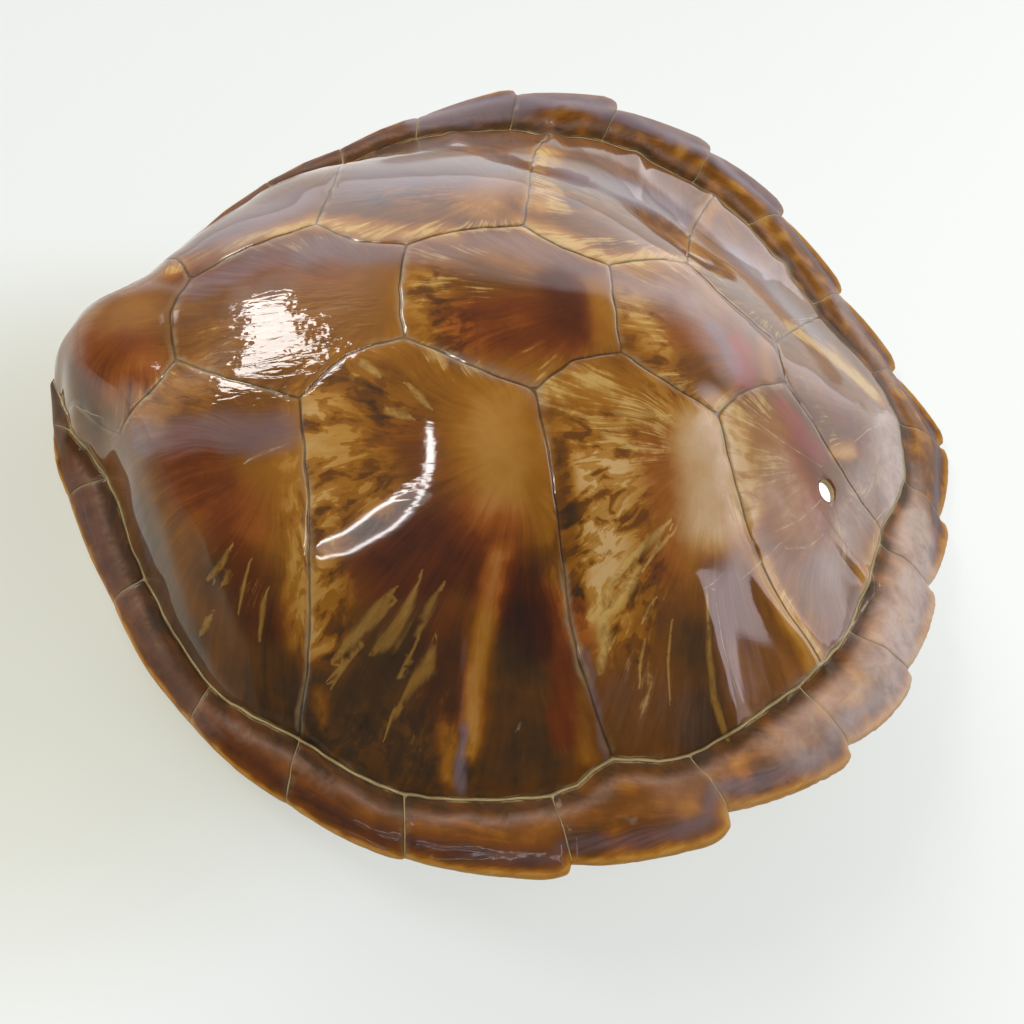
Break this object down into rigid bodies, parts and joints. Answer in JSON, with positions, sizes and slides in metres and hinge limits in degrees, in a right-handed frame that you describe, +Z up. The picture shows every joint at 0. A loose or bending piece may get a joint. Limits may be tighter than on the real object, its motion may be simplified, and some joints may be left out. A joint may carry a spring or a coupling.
{
  "type": "sea turtle shell",
  "caption": "Domed carapace of a young green turtle, dried and varnished, with scute seams, a serrated rear rim and a small drilled hanging hole.",
  "frame": {"origin": "on the ground, under the middle of the shell's box", "axes": "-X towards the head end, +X towards the tail, +Y to the shell's left, +Z up through the crest of the dome"},
  "size_m": [0.3808, 0.345, 0.081],
  "materials": {
    "varnished_horn": "amber and red-brown mottled horn scutes with pale streaks under a clear gloss varnish, pale bone inside"
  },
  "bodies": {
    "root": {"carapace": "varnished_horn"}
  },
  "joints": []
}
